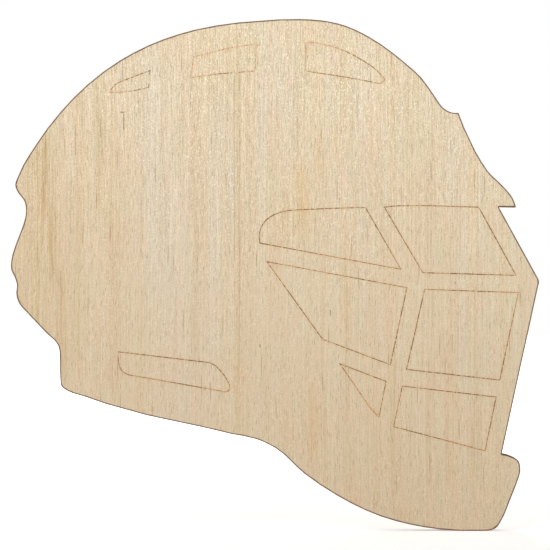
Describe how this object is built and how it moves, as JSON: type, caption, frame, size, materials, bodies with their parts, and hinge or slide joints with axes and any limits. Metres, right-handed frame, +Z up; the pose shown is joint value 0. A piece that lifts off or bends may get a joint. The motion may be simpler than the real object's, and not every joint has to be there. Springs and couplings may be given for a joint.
{
  "type": "goalie mask craft cutout",
  "caption": "Flat laser-cut birch plywood silhouette of a goalie mask in side view, with its vents and cage openings scored on the face.",
  "frame": {"origin": "middle of the plain back face, half way across the silhouette's width and height", "axes": "+X the way the mask faces, +Y out of the plain back, +Z up; the scored face looks towards -Y"},
  "size_m": [0.1588, 0.0063, 0.154],
  "materials": {
    "face_birch": "unfinished sanded birch veneer, vertical grain, with laser-browned score lines and edges",
    "inner_birch": "unfinished birch plies seen only at the laser-toasted edge",
    "back_birch": "unfinished birch back veneer, vertical grain, lightly smoked along the cut",
    "glue_line": "dark resin glue line between the plies, charred at the edge",
    "laser_char": "brown laser char on the arris of each cut and in each scored line"
  },
  "bodies": {
    "root": {"face_veneer": "face_birch", "crown_vent_rear": "face_birch", "crown_vent_middle": "face_birch", "crown_vent_front": "face_birch", "side_slot": "face_birch", "eye_window_rear": "face_birch", "eye_window_front": "face_birch", "cheek_window_rear": "face_birch", "cheek_window_front": "face_birch", "jaw_window_rear": "face_birch", "jaw_window_front": "face_birch", "cross_band_front": "inner_birch", "core_ply": "inner_birch", "cross_band_back": "inner_birch", "back_veneer": "back_birch"}
  },
  "joints": []
}
